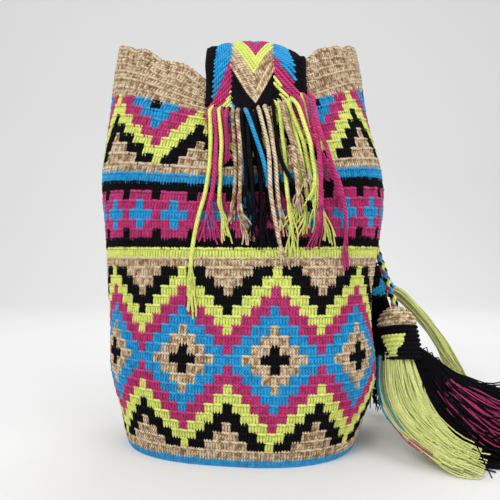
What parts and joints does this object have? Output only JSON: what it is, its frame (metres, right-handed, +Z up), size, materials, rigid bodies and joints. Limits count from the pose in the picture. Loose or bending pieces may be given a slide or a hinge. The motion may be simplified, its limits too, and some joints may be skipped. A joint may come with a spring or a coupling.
{
  "type": "wayuu mochila bag",
  "caption": "Crocheted bucket bag with bands of diamonds and crosses, a woven shoulder strap with yarn fringe, and a drawstring with two tassels.",
  "frame": {"origin": "centre of the base's underside, where the bag stands", "axes": "+Z up, -Y towards the front with the sewn strap end, +X towards the tassels' side"},
  "size_m": [0.2968, 0.2118, 0.2894],
  "materials": {
    "tan_yarn": "matt variegated cotton yarn, crocheted",
    "lime_yarn": "matt mercerised yarn",
    "magenta_yarn": "matt mercerised yarn",
    "blue_yarn": "matt mercerised yarn",
    "black_yarn": "matt mercerised yarn"
  },
  "bodies": {
    "root": {"bag_body": "tan_yarn", "drawstring": "blue_yarn", "drawstring_tail_1": "blue_yarn", "drawstring_tail_2": "blue_yarn", "fringe_back_black_1": "black_yarn", "fringe_back_blue_1": "blue_yarn", "fringe_back_lime_1": "lime_yarn", "fringe_back_lime_2": "lime_yarn", "fringe_back_magenta_1": "magenta_yarn", "fringe_back_magenta_2": "magenta_yarn", "fringe_back_tan_1": "tan_yarn", "fringe_back_tan_2": "tan_yarn", "fringe_front_black_1": "black_yarn", "fringe_front_black_2": "black_yarn", "fringe_front_black_3": "black_yarn", "fringe_front_black_4": "black_yarn", "fringe_front_blue_1": "blue_yarn", "fringe_front_blue_2": "blue_yarn", "fringe_front_lime_1": "lime_yarn", "fringe_front_lime_2": "lime_yarn", "fringe_front_lime_3": "lime_yarn", "fringe_front_lime_4": "lime_yarn", "fringe_front_lime_5": "lime_yarn", "fringe_front_lime_6": "lime_yarn", "fringe_front_magenta_1": "magenta_yarn", "fringe_front_magenta_2": "magenta_yarn", "fringe_front_magenta_3": "magenta_yarn", "fringe_front_magenta_4": "magenta_yarn", "fringe_front_magenta_5": "magenta_yarn", "fringe_front_tan_1": "tan_yarn", "fringe_front_tan_2": "tan_yarn", "fringe_front_tan_3": "tan_yarn", "fringe_front_tan_4": "tan_yarn", "fringe_front_tan_5": "tan_yarn", "fringe_front_tan_6": "tan_yarn", "shoulder_strap": "magenta_yarn", "tassel_1_cap": "black_yarn", "tassel_1_skirt_black": "black_yarn", "tassel_1_skirt_lime": "lime_yarn", "tassel_2_cap": "black_yarn", "tassel_2_skirt_black": "black_yarn", "tassel_2_skirt_lime": "lime_yarn"}
  },
  "joints": []
}
